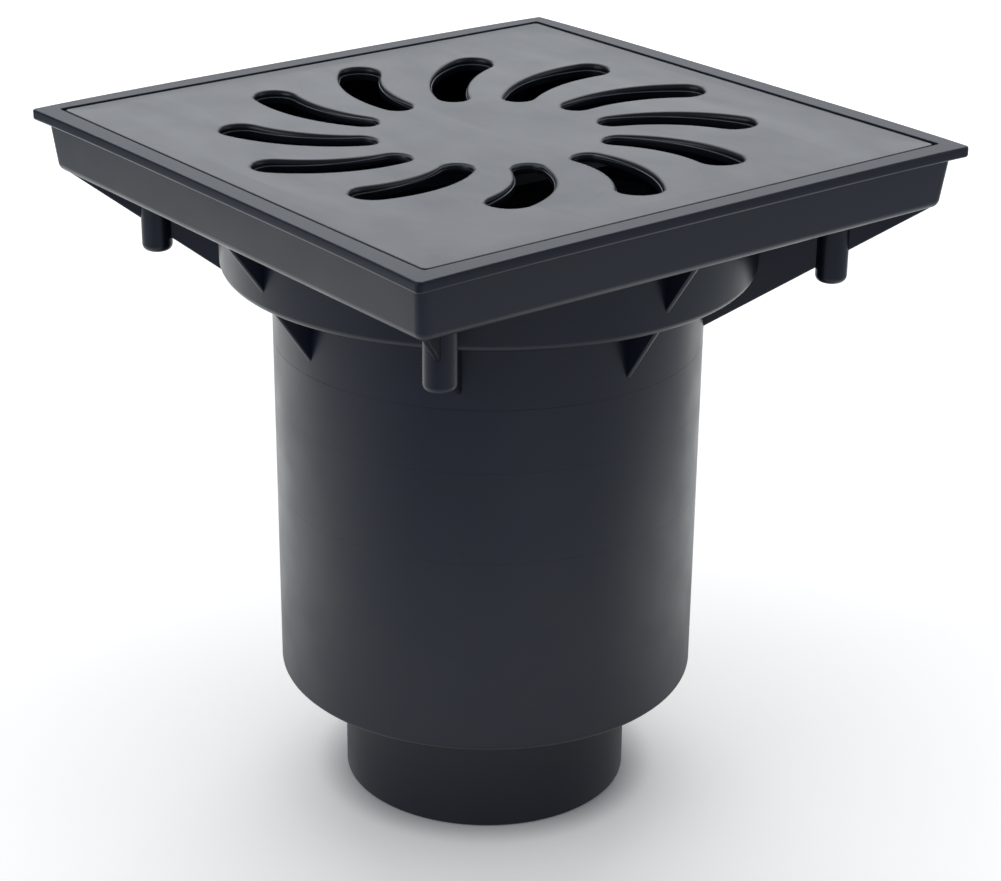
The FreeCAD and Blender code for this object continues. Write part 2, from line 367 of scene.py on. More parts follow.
class RadialPattern(Wiring):
    """Geometry Nodes tree that sets copies of a mesh evenly about the drain's axis."""

    INPUTS = {"Count": "Int", "Start": "Float", "Weld": "Float", "Finish": "Material"}

    def __init__(self) -> None:
        """Builds the tree and keeps the identifiers of its inputs."""
        self.tree = tree = bpy.data.node_groups.new("RadialPattern", "GeometryNodeTree")
        sockets = tree.interface
        sockets.new_socket("Geometry", in_out="INPUT", socket_type="NodeSocketGeometry")
        self.identifiers = {}
        for name, kind in self.INPUTS.items():
            socket = sockets.new_socket(name, in_out="INPUT", socket_type="NodeSocket" + kind)
            self.identifiers[name] = socket.identifier
        sockets.new_socket("Geometry", in_out="OUTPUT", socket_type="NodeSocketGeometry")

        given = tree.nodes.new("NodeGroupInput").outputs
        points = self.made("GeometryNodePoints", 0, {"Count": given["Count"]})
        number = self.made("GeometryNodeInputIndex", 0, {})
        pitch = self.made(
            "ShaderNodeMath", 0, {0: FULL_TURN, 1: given["Count"]}, operation="DIVIDE")
        turn = self.made(
            "ShaderNodeMath", 0, {0: number, 1: pitch, 2: given["Start"]}, operation="MULTIPLY_ADD")
        upright = self.made("ShaderNodeCombineXYZ", 0, {"Z": turn})
        rotation = self.made("FunctionNodeEulerToRotation", 0, {0: upright})
        copies = self.made("GeometryNodeInstanceOnPoints", 0, {
            "Points": points, "Instance": given["Geometry"], "Rotation": rotation})
        real = self.made("GeometryNodeRealizeInstances", 0, {0: copies})
        welded = self.made(
            "GeometryNodeMergeByDistance", 0, {"Geometry": real, "Distance": given["Weld"]})
        dressed = self.made(
            "GeometryNodeSetMaterial", 0, {"Geometry": welded, "Material": given["Finish"]})
        self.fill(tree.nodes.new("NodeGroupOutput").inputs[0], dressed)

    def apply(self, piece: Piece, count: int, finish: Material, start: float = 0.0,
              weld: float = LEAST_WELD) -> Piece:
        """Turns a piece into a ring of copies of itself.

        Args:
            piece: The mesh object to repeat.
            count: Number of copies.
            finish: Material of the copies.
            start: Angle of the first copy, in degrees.
            weld: Distance under which points of neighbours are merged, in metres.

        Returns:
            The same object, as plain mesh.
        """
        step = piece.modifiers.new("RadialPattern", "NODES")
        step.node_group = self.tree
        values = {"Count": count, "Start": math.radians(start), "Weld": weld, "Finish": finish}
        for name, value in values.items():
            step[self.identifiers[name]] = value
        return settle(piece)


class MaterialShop(Wiring):
    """Makes one node material."""

    NOISE_MIDDLE = (0.3, 0.7)

    def __init__(self, name: str) -> None:
        """Starts a material with its shader and the coordinates that its patterns follow.

        Args:
            name: Name of the material.
        """
        self.material = bpy.data.materials.new(name)
        self.material.use_nodes = True
        self.tree = self.material.node_tree
        self.shader = self.tree.nodes["Principled BSDF"]
        self.spot = self.tree.nodes.new("ShaderNodeTexCoord").outputs["Object"]

    def finished(self, inputs: dict[str, Value]) -> Material:
        """Fills the shader's inputs.

        Args:
            inputs: The value of each input, by name.

        Returns:
            The material.
        """
        for name, value in inputs.items():
            self.fill(self.shader.inputs[name], value)
        return self.material

    def sum(self, kind: Sum, *values: Value) -> Socket:
        """Returns the result of a sum on numbers."""
        return self.made("ShaderNodeMath", 0, dict(enumerate(values)), operation=kind.value)

    def height(self) -> Socket:
        """Returns the height above the drain's foot."""
        return self.made("ShaderNodeSeparateXYZ", "Z", {0: self.spot})

    def mix(self, share: Value, plain: Socket, other: Value) -> Socket:
        """Returns a number that goes from a plain one to another by a share."""
        return self.made("ShaderNodeMix", 0, {0: share, 2: plain, 3: other}, data_type="FLOAT")

    def painted(self, share: Socket, plain: Socket, other: Triple) -> Socket:
        """Returns a colour that goes from a plain one to another by a share."""
        colours = {0: share, 6: plain, 7: (*other, 1.0)}
        return self.made("ShaderNodeMix", 2, colours, data_type="RGBA")

    def added(self, first: Socket, colour: Triple, share: Socket) -> Socket:
        """Returns a colour with a share of another added to it."""
        parts = {0: colour, 1: share, 2: first}
        return self.made("ShaderNodeVectorMath", 0, parts, operation="MULTIPLY_ADD")

    def stretched(self, scale: Triple, turn: float = 0.0) -> Socket:
        """Stretches the coordinates that patterns follow.

        Args:
            scale: Features a metre, along each axis.
            turn: Angle about Z, in degrees.

        Returns:
            The stretched coordinates.
        """
        rotation = (0.0, 0.0, math.radians(turn))
        return self.made(
            "ShaderNodeMapping", 0, {"Vector": self.spot, "Scale": scale, "Rotation": rotation})

    def noise(self, spot: Socket, scale: float, detail: float, distortion: float = 0.0) -> Socket:
        """Adds a noise pattern.

        Args:
            spot: Coordinates that the pattern follows.
            scale: Features a metre.
            detail: Octaves of finer pattern.
            distortion: How far the pattern is bent by itself.

        Returns:
            The pattern's height.
        """
        return self.made("ShaderNodeTexNoise", "Fac", {
            "Vector": spot, "Scale": scale, "Detail": detail, "Distortion": distortion})

    def ramp(self, height: Socket, low: Sequence[float], high: Sequence[float]) -> Socket:
        """Runs a colour over the middle of a noise pattern.

        Args:
            height: The pattern's height.
            low: Colour below the middle.
            high: Colour above the middle.

        Returns:
            The colour.
        """
        node = self.tree.nodes.new("ShaderNodeValToRGB")
        for stop, place, colour in zip(node.color_ramp.elements, self.NOISE_MIDDLE, (low, high)):
            stop.position = place
            stop.color = (*colour, 1.0)
        self.fill(node.inputs["Fac"], height)
        return node.outputs["Color"]

    def span(self, value: Socket, reach: Sequence[float], levels: Sequence[float],
             run: Run = Run.STRAIGHT) -> Socket:
        """Runs a number between two levels.

        Args:
            value: What the number follows.
            reach: Values at which the run starts and ends.
            levels: Numbers at the start of the run and at its end.
            run: How the number runs between them.

        Returns:
            The number.
        """
        names = ("From Min", "From Max", "To Min", "To Max")
        inputs = {"Value": value, **dict(zip(names, (*reach, *levels)))}
        return self.made("ShaderNodeMapRange", "Result", inputs, interpolation_type=run.value)


@dataclass(frozen=True)
class MouldedPlastic:
    """Finish of a moulded polyolefin: deep colour, soft sheen, fine grain and faint flow marks.

    Sizes and heights are millimetres. A height of None leaves out the matt top or the painted
    highlight along the parting line.
    """

    name: str
    colour: Triple
    roughness: float
    sheen_spread: float = 0.04
    mottle: float = 0.12
    mottle_scale: float = 55.0
    grain_size: float = 0.45
    grain_depth: float = 0.012
    grain_strength: float = 0.5
    flow: float = 0.0
    flow_stretch: Triple = (34.0, 9.0, 20.0)
    flow_turn: float = 24.0
    flow_bend: float = 1.6
    shine: float = 0.5
    ior: float = 1.49
    matt_above: float | None = None
    matt_roughness: float = 0.5
    # Painted highlight: these fields paint a light band along the slots' parting line, standing in
    # for the light that the line catches.
    seam_highlight_z: float | None = None
    seam_highlight_height: float = 0.3
    seam_highlight_colour: Triple = (0.2, 0.21, 0.22)

    def material(self) -> Material:
        """Makes the finish.

        Returns:
            The new material.
        """
        shop = MaterialShop(self.name)
        cloud = shop.noise(shop.spot, self.mottle_scale, detail=4.0)
        if self.flow:
            along = shop.stretched(self.flow_stretch, self.flow_turn)
            streak = shop.noise(along, 1.0, detail=3.0, distortion=self.flow_bend)
            cloud = shop.mix(self.flow, cloud, streak)
        dark = [c * (1 - self.mottle) for c in self.colour]
        light = [c * (1 + self.mottle) for c in self.colour]
        paint = shop.ramp(cloud, dark, light)
        levels = (self.roughness - self.sheen_spread, self.roughness + self.sheen_spread)
        sheen = shop.span(cloud, shop.NOISE_MIDDLE, levels)
        if self.matt_above is not None:
            top = shop.sum(Sum.ABOVE, shop.height(), self.matt_above * MM)
            sheen = shop.mix(top, sheen, self.matt_roughness)
        # Painted highlight: a lighter band at one height, along the parting line in the slots.
        if self.seam_highlight_z is not None:
            half = self.seam_highlight_height * MM / 2
            seam_highlight_band = shop.sum(Sum.WITHIN, shop.height(), self.seam_highlight_z * MM, half)
            paint = shop.painted(seam_highlight_band, paint, self.seam_highlight_colour)
        grain = shop.noise(shop.spot, 1 / (self.grain_size * MM), detail=2.0)
        bump = shop.made("ShaderNodeBump", 0, {
            "Strength": self.grain_strength, "Distance": self.grain_depth * MM, "Height": grain})
        return shop.finished({
            "Base Color": paint, "Roughness": sheen, "Normal": bump,
            "Specular IOR Level": self.shine, "IOR": self.ior})


@dataclass(frozen=True)
class SoftRubber:
    """Finish of a dull rubber seal with a faint bloom."""

    name: str
    colour: Triple
    bloom: float = 2.2
    bloom_scale: float = 120.0
    roughness: tuple[float, float] = (0.62, 0.82)
    ior: float = 1.5

    def material(self) -> Material:
        """Makes the finish.

        Returns:
            The new material.
        """
        shop = MaterialShop(self.name)
        bloom = shop.noise(shop.spot, self.bloom_scale, detail=5.0)
        light = [c * self.bloom for c in self.colour]
        return shop.finished({
            "Base Color": shop.ramp(bloom, self.colour, light),
            "Roughness": shop.span(bloom, shop.NOISE_MIDDLE, self.roughness), "IOR": self.ior})


@dataclass(frozen=True)
class DrawnSteel:
    """Finish of drawn stainless bar, with fine streaks along Y."""

    name: str
    colour: Triple
    streaks: Triple = (2400.0, 30.0, 2400.0)
    shade: float = 0.8
    roughness: tuple[float, float] = (0.24, 0.42)

    def material(self) -> Material:
        """Makes the finish.

        Returns:
            The new material.
        """
        shop = MaterialShop(self.name)
        streak = shop.noise(shop.stretched(self.streaks), 1.0, detail=2.0)
        dark = [c * self.shade for c in self.colour]
        return shop.finished({
            "Base Color": shop.ramp(streak, dark, self.colour),
            "Roughness": shop.span(streak, shop.NOISE_MIDDLE, self.roughness), "Metallic": 1.0})


class Finishes:
    """The drain's materials, one for each slot of its record."""

    def __init__(self) -> None:
        """Makes every material once."""
        self.body = MouldedPlastic(
            "BodyPlastic", (0.0045, 0.0085, 0.022), 0.34,
            matt_above=259.0, matt_roughness=0.48).material()
        # The grate gets a painted highlight along the parting line in its slots.
        self.grate = MouldedPlastic(
            "GratePlastic", (0.0055, 0.0078, 0.0135), 0.34, flow=0.6, seam_highlight_z=258.3).material()
        self.basket = MouldedPlastic(
            "BasketPlastic", (0.02, 0.021, 0.032), 0.8, shine=0.1).material()
        self.trap = MouldedPlastic("TrapPlastic", (0.17, 0.175, 0.18), 0.46).material()
        self.rubber = SoftRubber("GasketRubber", (0.012, 0.012, 0.013)).material()
        self.steel = DrawnSteel("TrapSteel", (0.55, 0.55, 0.56)).material()


@dataclass
class DrainBody:
    """The one-piece moulding: spigot, barrel, collar, tray, flange and all that braces them."""

    finishes: Finishes
    pattern: RadialPattern
    spigot_radius: float = 55.0
    barrel_foot_radius: float = 79.9
    barrel_top_radius: float = 80.5
    collar_foot_radius: float = 99.3
    collar_top_radius: float = 99.9
    wall: float = 3.2
    tray_half: float = 115.7
    tray_draft: float = 5.7
    tray_wall: float = 4.3
    tray_corner: float = 4.0
    recess_corner: float = 1.2
    recess_floor_z: float = 241.7
    flange_half: float = 121.5
    flange_thickness: float = 4.0
    flange_corner: float = 2.0
    flange_lip: float = 1.0
    flange_fall: float = 0.15
    corner_sag: float = 0.8
    sag_power: int = 4
    barrel_z: float = 46.5
    collar_z: float = 210.4
    tray_z: float = 237.3
    flange_z: float = 257.0
    mouth_edge: float = 0.5
    spigot_edge: float = 0.4
    barrel_edge: float = 2.5
    collar_edge: float = 2.8
    tray_edge: float = 3.6
    flange_root_edge: float = 0.5
    flange_under_edge: float = 1.1
    flange_top_edge: float = 0.7
    recess_edge: float = 0.3
    step_edge: float = 0.6
    sides: int = 4
    corner_angle: float = 45.0
    rib_thickness: float = 2.0
    rib_edge: float = 0.75
    rib_edge_steps: int = 3
    web_reach: float = 159.6
    gusset_foot_z: float = 187.7
    barrel_gusset_reach: float = 95.8
    collar_gusset_foot_z: float = 217.6
    collar_gusset_reach: float = 113.3
    peg_radius: float = 5.8
    peg_edge: float = 2.6
    peg_circle: float = 125.7
    peg_foot_z: float = 207.6
    peg_steps: int = 6
    peg_points: int = 40
    mould_lines: tuple[tuple[float, float], ...] = ((123.0, 0.05), (158.0, 0.05), (182.0, 0.11))
    mould_line_depth: float = 0.45
    round_steps: int = 5
    side_steps: int = 44
    corner_steps: int = 5

    def tray_reach(self, z: float) -> float:
        """Returns the half width of the tray's drafted wall at a height."""
        return self.tray_half + (z - self.tray_z) * math.tan(math.radians(self.tray_draft))

    def barrel_radius(self, z: float) -> float:
        """Returns the drafted barrel's radius at a height."""
        share = (z - self.barrel_z) / (self.collar_z - self.barrel_z)
        return self.barrel_foot_radius + share * (self.barrel_top_radius - self.barrel_foot_radius)

    def section(self) -> list[Corner]:
        """Draws the wall's closed section.

        Returns:
            Its corners, from the spigot's foot up the outside and down the bore.
        """
        rim_z = self.flange_z + self.flange_thickness
        floor_z = self.recess_floor_z
        recess_z = rim_z - self.flange_fall
        recess_top = self.tray_reach(recess_z) - self.tray_wall
        recess_floor = self.tray_reach(floor_z) - self.tray_wall
        flange_root = self.tray_reach(self.flange_z)
        lip_corner = self.flange_corner - self.flange_lip
        spigot_bore = self.spigot_radius - self.wall
        barrel_bore = (self.barrel_foot_radius + self.barrel_top_radius) / 2 - self.wall
        collar_bore = (self.collar_foot_radius + self.collar_top_radius) / 2 - self.wall
        collar_floor, barrel_floor = self.collar_z + self.wall, self.barrel_z + self.wall
        lines = []
        for z, width in self.mould_lines:
            radius = self.barrel_radius(z)
            lines += [
                Corner(radius, z - width / 2),
                Corner(radius - self.mould_line_depth * width, z),
                Corner(radius, z + width / 2),
            ]
        return [
            Corner(spigot_bore, 0, self.mouth_edge),
            Corner(self.spigot_radius, 0, self.spigot_edge),
            Corner(self.spigot_radius, self.barrel_z, self.step_edge),
            Corner(self.barrel_foot_radius, self.barrel_z, self.barrel_edge),
            *lines,
            Corner(self.barrel_top_radius, self.collar_z, self.step_edge),
            Corner(self.collar_foot_radius, self.collar_z, self.collar_edge),
            Corner(self.collar_top_radius, self.tray_z, self.step_edge),
            Corner(self.tray_half, self.tray_z, self.tray_edge, self.tray_corner),
            Corner(flange_root, self.flange_z, self.flange_root_edge, self.tray_corner),
            Corner(self.flange_half, self.flange_z, self.flange_under_edge, self.flange_corner),
            Corner(self.flange_half, rim_z, self.flange_top_edge, self.flange_corner),
            Corner(self.flange_half - self.flange_lip, rim_z, 0.0, lip_corner),
            Corner(recess_top, recess_z, self.recess_edge, self.recess_corner),
            Corner(recess_floor, floor_z, self.step_edge, self.recess_corner),
            Corner(collar_bore, floor_z, self.step_edge),
            Corner(collar_bore, collar_floor, self.step_edge),
            Corner(barrel_bore, collar_floor, self.step_edge),
            Corner(barrel_bore, barrel_floor, self.step_edge),
            Corner(spigot_bore, barrel_floor, self.step_edge),
        ]

    def sagged(self, loop: np.ndarray) -> np.ndarray:
        """Lowers a loop where the flange overhangs the tray's wall, most of all at its corners.

        Args:
            loop: Points of one level loop.

        Returns:
            The points, lowered only where they belong to the overhang.
        """
        start = self.tray_reach(self.flange_z)
        plan = np.abs(loop[:, :2])
        out, along = plan.max(1), plan.min(1)
        overhang = np.clip((out - start) / (self.flange_half - start), 0, 1)
        loop[:, 2] -= self.corner_sag * overhang * (along / out) ** self.sag_power
        return loop

    def shell(self) -> Piece:
        """Makes the moulding's wall.

        Returns:
            The wall, without ribs or pegs.
        """
        loops = PlanLoops(self.side_steps, self.corner_steps, self.tray_half, self.tray_corner)
        points = round_section(self.section(), self.round_steps)
        rows = [self.sagged(loops.at(point)) for point in points]
        return skin("drain_body_moulding", rows, Ends.JOINED)

    def rib(self, name: str, corners: Sequence[tuple[float, float]]) -> Piece:
        """Makes one flat rib with softened edges.

        Args:
            name: Name of the object.
            corners: Outline of the rib, as distances out and heights.

        Returns:
            The rib, in the plane of +X.
        """
        half = self.rib_thickness / 2
        sides = [np.array([(out, y, z) for out, z in corners]) for y in (-half, half)]
        piece = skin(name, sides, Ends.CAPPED)
        step = piece.modifiers.new("Edges", "BEVEL")
        step.width = self.rib_edge * MM
        step.segments = self.rib_edge_steps
        step.limit_method = "ANGLE"
        return settle(piece)

    def rib_outlines(self) -> dict[str, list[tuple[float, float]]]:
        """Draws one rib of each kind.

        Returns:
            Their outlines by name, as distances out and heights.
        """
        sunk, tray_sunk = self.wall / 2, self.tray_wall / 2
        foot = self.barrel_radius(self.gusset_foot_z)
        heel = [(foot - sunk, self.gusset_foot_z), (foot, self.gusset_foot_z)]
        return {
            "corner_web": [
                *heel,
                (self.web_reach, self.tray_z),
                (self.web_reach, self.tray_z + sunk),
                (self.collar_top_radius - sunk, self.tray_z + sunk),
                (self.collar_foot_radius - sunk, self.collar_z + sunk),
                (foot - sunk, self.collar_z + sunk),
            ],
            "barrel_gusset": [
                *heel,
                (self.barrel_gusset_reach, self.collar_z),
                (self.barrel_gusset_reach, self.collar_z + sunk),
                (foot - sunk, self.collar_z + sunk),
            ],
            "collar_gusset": [
                (self.collar_foot_radius - tray_sunk, self.collar_gusset_foot_z),
                (self.collar_foot_radius, self.collar_gusset_foot_z),
                (self.collar_gusset_reach, self.tray_z),
                (self.collar_gusset_reach, self.tray_z + tray_sunk),
                (self.collar_top_radius - tray_sunk, self.tray_z + tray_sunk),
            ],
        }

    def peg(self) -> Piece:
        """Makes one round peg.

        Returns:
            The peg, with a rounded foot.
        """
        section = round_section([
            Corner(0, self.peg_foot_z),
            Corner(self.peg_radius, self.peg_foot_z, self.peg_edge),
            Corner(self.peg_radius, self.tray_z + self.tray_wall / 2),
            Corner(0, self.tray_z + self.tray_wall / 2),
        ], self.peg_steps)
        angles = np.linspace(0, FULL_TURN, self.peg_points, endpoint=False)
        ring = np.stack([np.cos(angles), np.sin(angles), np.zeros_like(angles)], 1)
        place = np.array([self.peg_circle, 0, 0])
        rows = [ring * p.out + place + np.array([0, 0, p.z]) for p in section if p.out]
        return skin("corner_peg", rows, Ends.CAPPED)

    def build(self) -> Piece:
        """Makes the whole moulding.

        Returns:
            One closed mesh.
        """
        moulding = self.shell()
        moulding.data.materials.append(self.finishes.body)
        web, barrel_gusset, collar_gusset = [
            self.rib(name, corners) for name, corners in self.rib_outlines().items()]
        for piece, start in (
            (web, self.corner_angle),
            (self.peg(), self.corner_angle),
            (barrel_gusset, 0.0),
            (collar_gusset, 0.0),
        ):
            join(moulding, self.pattern.apply(piece, self.sides, self.finishes.body, start))
        tidy(moulding)
        soften(moulding)
        return moulding

    def dress(self, moulding: Piece) -> None:
        """Puts the moulding in place of its plain solid.

        Args:
            moulding: The moulding's mesh.
        """
        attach(moulding, Body.DRAIN.value)
        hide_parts("drain_body")


@dataclass
class SwirlGrate:
    """The lift-out grate: dished plate with swirl slots, on a drafted skirt with foot ribs."""

    finishes: Finishes
    pattern: RadialPattern
    top_z: float = 261.0
    edge_z: float = 260.5
    border: float = 7.8
    under_z: float = 255.6
    foot_z: float = 241.7
    foot_half: float = 111.1
    draft: float = 5.7
    skirt: float = 2.6
    plan: float = 2.5
    top_edge: float = 1.0
    skirt_root: float = 0.6
    foot_edge: float = 0.3
    frame_round_steps: int = 4
    frame_side_steps: int = 40
    frame_corner_steps: int = 4
    dish_depth: float = 2.2
    hub_radius: float = 41.0
    rim_radius: float = 98.5
    dish_blend: float = 3.0
    slot_count: int = 12
    inner_radius: float = 48.0
    inner_angle: float = 8.6
    inner_end: float = 5.8
    outer_radius: float = 89.7
    outer_angle: float = -3.55
    outer_end: float = 7.85
    convex_radius: float = 56.05
    concave_radius: float = 52.15
    slot_edge: float = 1.6
    slot_edge_steps: int = 6
    under_edge: float = 0.3
    ledge: float = 0.25
    ledge_drop: float = 2.5
    ledge_clear: float = 0.1
    ledge_edge: tuple[float, float] = (0.1, 0.12)
    ledge_rise: float = 0.04
    field_inside: float = 33.0
    field_outside: float = 104.0
    field_rows: tuple[float, ...] = (0.12, 0.3, 0.5, 0.7, 0.86, 1.0)
    divider_inner: float = 0.2
    divider_outer: float = 0.35
    divider_bow: float = 9.0
    end_steps: int = 14
    side_steps: int = 28
    level_slack: float = 0.02
    foot_rib: float = 2.4
    foot_rib_count: int = 8
    foot_rib_sunk: float = 1.6

    @staticmethod
    def eased(distance: np.ndarray, blend: float) -> np.ndarray:
        """Returns a ramp that starts at zero, with a smooth start over a blend."""
        curved = (distance + blend) ** 2 / (4 * blend)
        return np.where(distance < -blend, 0, np.where(distance > blend, distance, curved))

    def height(self, spots: np.ndarray) -> np.ndarray:
        """Finds the height of the grate's dished top.

        Args:
            spots: Points of the grate's plan.

        Returns:
            The top's height at each.
        """
        radius = np.hypot(spots[:, 0], spots[:, 1])
        slope = self.dish_depth / (self.rim_radius - self.hub_radius)
        start = self.eased(radius - self.hub_radius, self.dish_blend)
        rise = start - self.eased(radius - self.rim_radius, self.dish_blend)
        return self.top_z - self.dish_depth + slope * rise

    @staticmethod
    def polar(radius: float, angle: float) -> np.ndarray:
        """Returns the plan point at a radius and an angle in degrees."""
        return radius * np.array([math.cos(math.radians(angle)), math.sin(math.radians(angle))])

    @staticmethod
    def meeting(first: np.ndarray, first_reach: float, second: np.ndarray,
                second_reach: float) -> np.ndarray:
        """Finds the point at given distances from two points.

        Args:
            first: The first point.
            first_reach: Distance from it.
            second: The second point.
            second_reach: Distance from it.

        Returns:
            The point on the right of the line between them.
        """
        along = second - first
        span = float(np.linalg.norm(along))
        along = along / span
        ahead = (first_reach ** 2 - second_reach ** 2 + span ** 2) / (2 * span)
        aside = math.sqrt(first_reach ** 2 - ahead ** 2)
        return first + along * ahead + np.array([along[1], -along[0]]) * aside

    @staticmethod
    def arc(centre: np.ndarray, radius: float, start: np.ndarray, end: np.ndarray, steps: int,
            outward: float = 1.0) -> tuple[np.ndarray, np.ndarray]:
        """Spaces points along the shorter arc between two directions.

        Args:
            centre: Centre of the arc.
            radius: Radius of the arc.
            start: Point in the direction of the arc's start.
            end: Point in the direction of the arc's end.
            steps: Steps along the arc. Its last point is left to the next arc.
            outward: 1 where the slot's wall faces the centre, and -1 where it faces away.

        Returns:
            The points, and the directions from the slot into the wall.
        """
        first = math.atan2(*(start - centre)[::-1])
        turn = math.atan2(*(end - centre)[::-1]) - first
        turn = (turn + math.pi) % FULL_TURN - math.pi
        angles = first + turn * np.arange(steps) / steps
        away = np.stack([np.cos(angles), np.sin(angles)], 1)
        return centre + radius * away, outward * away

    def slot_outline(self) -> tuple[np.ndarray, np.ndarray]:
        """Draws one slot: two curved sides with tangent round ends.

        Returns:
            Its outline from the inner end's start, and the directions into its wall.
        """
        inner = self.polar(self.inner_radius, self.inner_angle)
        outer = self.polar(self.outer_radius, self.outer_angle)
        convex = self.meeting(
            inner, self.convex_radius - self.inner_end,
            outer, self.convex_radius - self.outer_end)
        concave = self.meeting(
            inner, self.concave_radius + self.inner_end,
            outer, self.concave_radius + self.outer_end)
        inner_tip = inner + (inner - outer)
        outer_tip = outer + (outer - inner)
        half = self.end_steps // 2
        arcs = [
            self.arc(inner, self.inner_end, concave, inner_tip, half),
            self.arc(inner, self.inner_end, inner_tip, 2 * inner - convex, half),
            self.arc(convex, self.convex_radius, inner, outer, self.side_steps),
            self.arc(outer, self.outer_end, 2 * outer - convex, outer_tip, half),
            self.arc(outer, self.outer_end, outer_tip, concave, half),
            self.arc(concave, self.concave_radius, outer, inner, self.side_steps, -1.0),
        ]
        return np.concatenate([a[0] for a in arcs]), np.concatenate([a[1] for a in arcs])

    def divider(self, start: float, end: float) -> np.ndarray:
        """Draws the dividing curve between two slots' shares of the plate.

        Args:
            start: Angle at the hub, in degrees.
            end: Angle at the outside, in degrees.

        Returns:
            The curve's points, from the hub outwards.
        """
        share = np.linspace(0, 1, self.side_steps + 1)
        radius = self.field_inside + share * (self.field_outside - self.field_inside)
        bow = self.divider_bow * np.sin(math.pi * share)
        angle = np.radians(start + share * (end - start) + bow)
        return np.stack([radius * np.cos(angle), radius * np.sin(angle)], 1)

    def level(self, radius: float, start: float, end: float) -> np.ndarray:
        """Returns an arc about the axis between two angles in degrees, without its last point."""
        angle = np.radians(start + (end - start) * np.arange(self.end_steps) / self.end_steps)
        return radius * np.stack([np.cos(angle), np.sin(angle)], 1)

    def field_outline(self) -> np.ndarray:
        """Draws one slot's share of the plate.

        Returns:
            Its outline, point for point with the slot's.
        """
        half = 180.0 / self.slot_count
        sweep = self.outer_angle - self.inner_angle
        inner = self.inner_angle - sweep * self.divider_inner
        outer = self.outer_angle + sweep * self.divider_outer
        return np.concatenate([
            self.level(self.field_inside, inner - half, inner + half),
            self.divider(inner + half, outer + half)[:-1],
            self.level(self.field_outside, outer + half, outer - half),
            self.divider(inner - half, outer - half)[:0:-1],
        ])

    def sector(self) -> Piece:
        """Makes one slot's share of the plate.

        Returns:
            Its underside, the slot's wall with ledge and rounded edge, and its top.
        """
        outline, into = self.slot_outline()
        border = self.field_outline()

        def row(points: np.ndarray, z: np.ndarray | float) -> np.ndarray:
            """Returns plan points at their heights."""
            return np.column_stack([points, np.broadcast_to(z, len(points))])

        lip = outline + into * self.slot_edge
        top = self.height(lip)
        ledge_z = np.minimum(self.top_z - self.ledge_drop, top - self.slot_edge - self.ledge_clear)
        lower = outline - into * self.ledge
        rows = [
            row(border, self.under_z),
            row(lower + into * self.under_edge, self.under_z),
            row(lower, self.under_z + self.under_edge),
            row(lower, ledge_z - self.ledge_edge[1]),
            row(lower + into * self.ledge_edge[0], ledge_z),
            row(outline, ledge_z + self.ledge_rise),
        ]
        for k in range(self.slot_edge_steps + 1):
            turn = math.pi / 2 * k / self.slot_edge_steps
            spot = outline + into * self.slot_edge * (1 - math.cos(turn))
            rows.append(row(spot, top - self.slot_edge * (1 - math.sin(turn))))
        for share in self.field_rows:
            spot = lip + (border - lip) * share
            rows.append(row(spot, self.height(spot)))
        return skin("swirl_slot_sector", rows, Ends.OPEN)

    def frame_ring(self) -> Piece:
        """Makes the square frame round the slots, with its skirt.

        Returns:
            The frame, open where the slotted field goes.
        """
        half = self.foot_half
        rise = math.tan(math.radians(self.draft))
        top_half = half + (self.edge_z - self.foot_z) * rise
        under_half = half - self.skirt + (self.under_z - self.foot_z) * rise
        # The first corner only shows which way the underside runs, and gets no row of points
        section = round_section([
            Corner(self.field_outside, self.under_z),
            Corner(under_half, self.under_z, self.skirt_root, self.plan),
            Corner(half - self.skirt, self.foot_z, self.foot_edge, self.plan),
            Corner(half, self.foot_z, self.foot_edge, self.plan),
            Corner(top_half, self.edge_z, self.top_edge, self.plan),
            Corner(top_half - self.border, self.top_z, 0.0, self.plan),
        ], self.frame_round_steps)[1:]
        loops = PlanLoops(self.frame_side_steps, self.frame_corner_steps, half, self.plan)
        return skin("grate_frame", [loops.at(point) for point in section], Ends.OPEN)

    def foot_rib_piece(self, angle: float) -> Piece:
        """Makes one short rib that stands on the tray's floor, between skirt and slots.

        Args:
            angle: Direction of the rib, in degrees.

        Returns:
            The rib, in its place.
        """
        turn = math.radians(angle)
        square = max(abs(math.cos(turn)), abs(math.sin(turn)))
        reach = (self.foot_half - self.skirt / 2) / square
        start = self.rim_radius + self.foot_rib
        along = np.array([math.cos(turn), math.sin(turn), 0])
        across = np.array([-math.sin(turn), math.cos(turn), 0]) * self.foot_rib / 2
        up = np.array([0, 0, self.under_z + self.foot_rib_sunk - self.foot_z])
        base = np.array([0, 0, self.foot_z])
        ends = ((start, -1), (reach, -1), (reach, 1), (start, 1))
        floor = np.array([base + along * out + across * side for out, side in ends])
        return skin("grate_foot_rib", [floor, floor + up], Ends.CAPPED)

    def close(self, draft: bmesh.types.BMesh) -> None:
        """Fills the level areas between the slotted field, the hub and the frame.

        Args:
            draft: The field and the frame, open between them.
        """
        for z in (self.under_z, self.top_z, self.top_z - self.dish_depth):
            edges = [e for e in draft.edges if e.is_boundary
                     and all(abs(v.co.z / MM - z) < self.level_slack for v in e.verts)]
            bmesh.ops.triangle_fill(draft, edges=edges, use_beauty=True, use_dissolve=False)

    def build(self) -> Piece:
        """Makes the whole grate.

        Returns:
            One closed mesh.
        """
        finish = self.finishes.grate
        field = self.pattern.apply(self.sector(), self.slot_count, finish, weld=WELD)
        ring = self.frame_ring()
        grate = put(bpy.data.meshes.new("grate_moulding"))
        draft = bmesh.new()
        draft.from_mesh(field.data)
        draft.from_mesh(ring.data)
        self.close(draft)
        draft.to_mesh(grate.data)
        draft.free()
        discard(field)
        discard(ring)
        # Clearing takes the faces that came from the field back to the first material
        grate.data.materials.clear()
        grate.data.materials.append(finish)
        tidy(grate)
        for i in range(self.foot_rib_count):
            join(grate, self.foot_rib_piece(360.0 * i / self.foot_rib_count))
        tidy(grate)
        soften(grate)
        return grate

